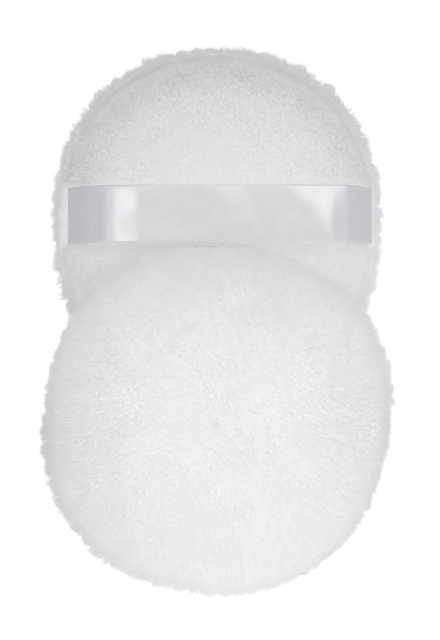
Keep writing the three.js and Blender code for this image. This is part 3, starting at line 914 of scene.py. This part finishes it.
def lift_panel_normals(piece, outer_rings, puff, side):
    """Leans the normals of a panel's outer surface as those of its strands."""
    vertices = piece.data.vertices
    normals, points = read(vertices, "normal", kind=np.float32), read(vertices, "co", kind=np.float32)
    outer = 1 + (outer_rings - 1) * AROUND
    normals[:outer] = lifted(puff, side, points[:outer], normals[:outer])
    piece.data.normals_split_custom_set_from_vertices(normals)


def wadding_rings(sizes):
    """The wadding pad in mm: superellipse domes over and under its widest line, with shallow lumps all over."""
    phi = np.linspace(0, math.pi, 2 * RINGS - 1)[:, None]
    quarter = np.minimum(phi, math.pi - phi)
    rise = np.where(phi <= math.pi / 2, sizes.wadding_rise / MM, -sizes.wadding_drop / MM)
    distance = WADDING_REACH * np.sin(quarter) ** ROUND_SHARE
    height = rise * np.abs(np.cos(quarter)) ** ROUND_SHARE
    angle = ring_angles()[None, :]
    lumps = 1 - 0.035 * (1 + np.sin(5 * angle + 3 * phi) * np.sin(7 * angle - 4 * phi + 1)) * np.sin(phi)
    rings = polar(distance * lumps, height, angle)
    rings[..., 2] *= 1 - 0.06 * (1 + np.sin(rings[..., 0] / 5.3) * np.cos(rings[..., 1] / 6.1))
    return rings


def stitch_tube():
    """The line of stitches in mm, (rows, sides, 3): a thread that rises and sinks once a stitch, and its map's (u, v)
    for each point, with u in turns of the plies."""
    steps, sides = 6, 6
    angle = np.arange(STITCHES * steps) / (STITCHES * steps) * 2 * math.pi
    weave = STITCH_LINE + STITCH_WEAVE * np.cos(angle * STITCHES * 2)
    line = polar(weave, STITCH_RISE * np.sin(angle * STITCHES), angle)
    ahead = unit(np.roll(line, -1, 0) - np.roll(line, 1, 0))
    a = unit(np.cross(ahead, [0, 0, 1.0]))
    b = np.cross(ahead, a)
    turn = ring_angles(sides)
    ring = THREAD_RADIUS * (np.cos(turn)[:, None] * a[:, None] + np.sin(turn)[:, None] * b[:, None])
    u = np.repeat(angle * STITCH_LINE / PLY_PITCH, sides)
    return line[:, None] + ring, np.stack([u, np.tile(turn / (2 * math.pi), len(line))], -1)


class PUFF_OT_wadding(bpy.types.Operator):
    """Make the crowned wadding pad of each puff"""

    bl_idname = "puff.wadding"
    bl_label = "Wadding Pads"

    def execute(self, context):
        sizes, colours, _ = settings(context)
        for puff in PUFFS:
            points, faces = closed_rings(puff.to_world(wadding_rings(sizes)))
            piece = new_piece(f"{puff.name}_wadding", points, faces, material_of(polyester_wadding, colours))
            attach(piece, f"{puff.name}_puff")
            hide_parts(f"{puff.name}_wadding_pad")
        return {"FINISHED"}


class PUFF_OT_panels(bpy.types.Operator):
    """Make the two rounds of plush cloth of each puff, swelled over the wadding by a cloth simulation"""

    bl_idname = "puff.panels"
    bl_label = "Plush Panels"

    def execute(self, context):
        sizes, colours, _ = settings(context)
        for puff in PUFFS:
            back, face = swelled(cloth_grid(puff, 1, sizes), cloth_grid(puff, -1, sizes), sizes.swell)
            for side, grid in ((1, back), (-1, face)):
                outer, inner = panel_rings(puff, side, grid, sizes)
                points, faces = closed_rings(np.concatenate([outer, inner[::-1]]))
                name = f"{puff.name}_{side_word(side)}"
                plush = material_of(plush_underpile, colours)
                piece = new_piece(f"{name}_panel", points, faces, plush, sharp_degrees=60)
                lift_panel_normals(piece, len(outer), puff, side)
                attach(piece, f"{puff.name}_puff")
                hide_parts(f"{name}_plush")
        return {"FINISHED"}


class PUFF_OT_seams(bpy.types.Operator):
    """Make the line of stitches that closes each puff"""

    bl_idname = "puff.seams"
    bl_label = "Seam Stitches"

    def execute(self, context):
        colours = settings(context)[1]
        for puff in PUFFS:
            points, thread_map = stitch_tube()
            faces = tube_quads(*points.shape[:2], closed=True)
            thread = material_of(spun_polyester_thread, colours)
            piece = new_piece(f"{puff.name}_seam_stitches", puff.to_world(points), faces, thread)
            add_map(piece, "Thread", thread_map)
            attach(piece, f"{puff.name}_puff")
            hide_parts(f"{puff.name}_seam_thread")
        return {"FINISHED"}


class PUFF_OT_back_pile(bpy.types.Operator):
    """Grow the short velvety pile on both backs"""

    bl_idname = "puff.back_pile"
    bl_label = "Short Back Pile"

    def execute(self, context):
        sizes = settings(context)[0]
        for puff in PUFFS:
            names = ("near", "far") if puff.face_up else ("far", "near")
            strands = sizes.short_strands if puff is LYING else sizes.short_strands // 2
            for part, start in zip(names, (0, math.pi)):
                grow(context, puff, 1, f"{puff.name}_back_pile_{part}", start, math.pi, strands, BACK_LOOK)
        return {"FINISHED"}


class PUFF_OT_face_pile(bpy.types.Operator):
    """Grow the long fluffy pile on both faces"""

    bl_idname = "puff.face_pile"
    bl_label = "Long Face Pile"

    def execute(self, context):
        sizes = settings(context)[0]
        quarters = [(LEANING, part, 90 * i - 45, 90) for i, part in enumerate(("right", "near", "left", "far"))]
        for puff, part, start, turn in (*quarters, (LYING, "far", 0, 180), (LYING, "near", 180, 180)):
            name, angles = f"{puff.name}_face_pile_{part}", (math.radians(start), math.radians(turn))
            grow(context, puff, -1, name, *angles, sizes.long_strands, FACE_LOOK)
        return {"FINISHED"}


class PUFF_OT_straps(bpy.types.Operator):
    """Make the satin ribbon straps, each in two halves"""

    bl_idname = "puff.straps"
    bl_label = "Ribbon Straps"

    def execute(self, context):
        for puff in PUFFS:
            for side, word, crease in zip((-1, 1), ("left", "right"), STRAP_CREASES):
                piece, length = make_strap_half(context, puff, side)
                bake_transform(piece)
                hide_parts(f"{puff.name}_strap_end_{word}", f"{puff.name}_strap_band")
        return {"FINISHED"}


class PUFF_OT_stage(bpy.types.Operator):
    """Set up the table, the lamps and the camera"""

    bl_idname = "puff.stage"
    bl_label = "Stage"

    def execute(self, context):
        scene, stage = context.scene, settings(context)[2]
        corners = TABLE_HALF * np.array([[-1, -1, 0], [1, -1, 0], [1, 1, 0], [-1, 1, 0]])
        new_piece("table", corners, [(0, 1, 2, 3)], material_of(matt_white_table, stage))
        height = stage.camera_height
        camera = linked("camera", bpy.data.cameras.new("camera"))
        camera.data.sensor_width = SENSOR_MM
        camera.data.lens = SENSOR_MM * height * PX_PER_MM_ON_TABLE / MM / PHOTO_HEIGHT_PX
        camera.data.clip_start, camera.data.clip_end = 0.01, 10
        camera.location = (CAMERA_X, CAMERA_Y, height)
        scene.camera = camera
        for name, place, size, watts in LAMPS:
            lamp = bpy.data.lights.new(name, "AREA")
            lamp.shape, lamp.size, lamp.energy, lamp.color = "DISK", size, getattr(stage, watts), LAMP_COLOUR
            holder = linked(name, lamp)
            holder.location = place
            holder.rotation_mode = "QUATERNION"
            holder.rotation_quaternion = (Vector((0, 0, 0.01)) - Vector(place)).to_track_quat("-Z", "Y")
        scene.world = bpy.data.worlds.new("room")
        scene.world.use_nodes = True
        tree = scene.world.node_tree
        tree.nodes.clear()
        room = put(tree, "Background", {"Color": tuple(stage.sky), "Strength": stage.sky_strength})
        white = put(tree, "Background", {"Color": (1, 1, 1, 1), "Strength": 1.0})
        shown = put(tree, "MixShader", {0: looked_at(tree), 1: room, 2: white})
        put(tree, "OutputWorld", {"Surface": shown})
        scene.view_settings.view_transform = "Standard"
        return {"FINISHED"}


class VIEW3D_PT_powder_puff(bpy.types.Panel):
    """Lists the pieces of the pair in the order in which they are made"""

    bl_label = "Powder Puff"
    bl_space_type = "VIEW_3D"
    bl_region_type = "UI"
    bl_category = "Powder Puff"

    def draw(self, context):
        for group in settings(context):
            box = self.layout.box()
            for key in group.bl_rna.properties.keys():
                if key not in ("rna_type", "name"):
                    box.prop(group, key)
        for step in STEPS:
            self.layout.operator(step.bl_idname)


STEPS = (
    PUFF_OT_wadding,
    PUFF_OT_panels,
    PUFF_OT_seams,
    PUFF_OT_back_pile,
    PUFF_OT_face_pile,
    PUFF_OT_straps,
    PUFF_OT_stage,
)
CLASSES = (PuffSizes, PuffColours, StageSettings, *STEPS, VIEW3D_PT_powder_puff)


def register():
    """Registers the classes and hangs the settings on the scene."""
    for each in CLASSES:
        bpy.utils.register_class(each)
    bpy.types.Scene.puff_sizes = PointerProperty(type=PuffSizes)
    bpy.types.Scene.puff_colours = PointerProperty(type=PuffColours)
    bpy.types.Scene.puff_stage = PointerProperty(type=StageSettings)


def unregister():
    """Takes back what register did."""
    del bpy.types.Scene.puff_stage, bpy.types.Scene.puff_colours, bpy.types.Scene.puff_sizes
    for each in reversed(CLASSES):
        bpy.utils.unregister_class(each)


def main():
    """Makes the pair piece by piece."""
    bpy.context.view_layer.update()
    register()
    bpy.ops.puff.wadding()
    bpy.ops.puff.panels()
    bpy.ops.puff.seams()
    bpy.ops.puff.back_pile()
    bpy.ops.puff.face_pile()
    bpy.ops.puff.straps()
    bpy.ops.puff.stage()


if __name__ == "__main__":
    main()
